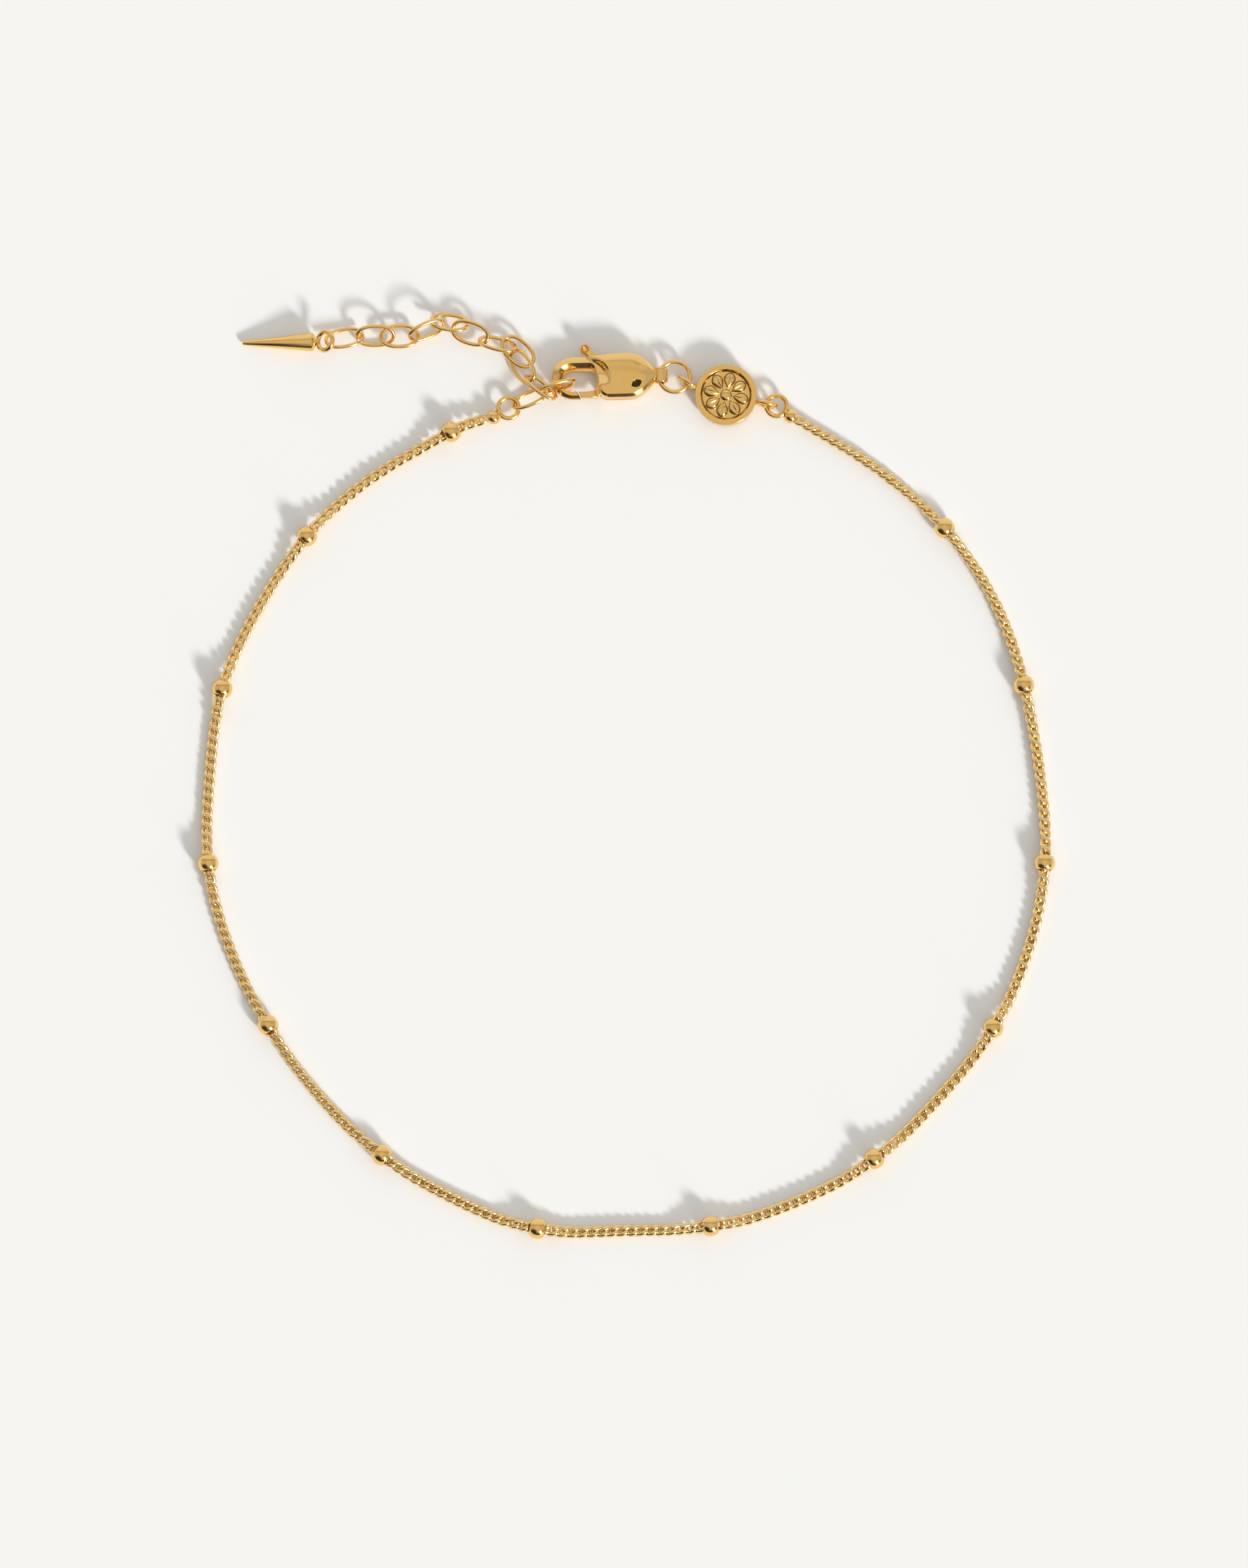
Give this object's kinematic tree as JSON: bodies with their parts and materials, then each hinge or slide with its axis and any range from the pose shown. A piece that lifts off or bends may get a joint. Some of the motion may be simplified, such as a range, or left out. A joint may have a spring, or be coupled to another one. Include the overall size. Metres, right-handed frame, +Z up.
{
  "type": "charm anklet",
  "caption": "Fine beaded chain anklet with a lobster clasp, a round flower tag, an extension chain and a spike drop, lying flat as a closed loop.",
  "frame": {"origin": "middle of the base of the anklet's bounding box, on the surface that it lies on", "axes": "+Z up from that surface, +Y across the loop towards the clasp, +X along the clasp towards the tag"},
  "size_m": [0.0728, 0.08, 0.0023],
  "materials": {
    "gold": "polished gold plate"
  },
  "bodies": {
    "anklet": {"bead_01": "gold", "bead_02": "gold", "bead_03": "gold", "bead_04": "gold", "bead_05": "gold", "bead_06": "gold", "bead_07": "gold", "bead_08": "gold", "bead_09": "gold", "bead_10": "gold", "bead_11": "gold", "bead_12": "gold", "bead_13": "gold", "clasp_body": "gold", "clasp_rivet": "gold", "curb_chain": "gold", "end_ring_left": "gold", "end_ring_right": "gold", "extension_link_01": "gold", "extension_link_02": "gold", "extension_link_03": "gold", "extension_link_04": "gold", "extension_link_05": "gold", "extension_link_06": "gold", "extension_link_07": "gold", "extension_link_08": "gold", "extension_link_09": "gold", "extension_link_10": "gold", "extension_link_11": "gold", "extension_link_12": "gold", "jump_ring": "gold", "spike_charm": "gold", "tag_disc": "gold"},
    "lever": {"clasp_lever": "gold"}
  },
  "joints": [
    {"name": "lever_hinge", "type": "hinge", "parent": "anklet", "child": "lever", "pos_m": [0.00086, 0.03358, 0.001], "axis": [0, 0, 1], "range_deg": [-15, 0], "stiffness_Nm_per_rad": 0.004, "springref_deg": 11.46}
  ]
}
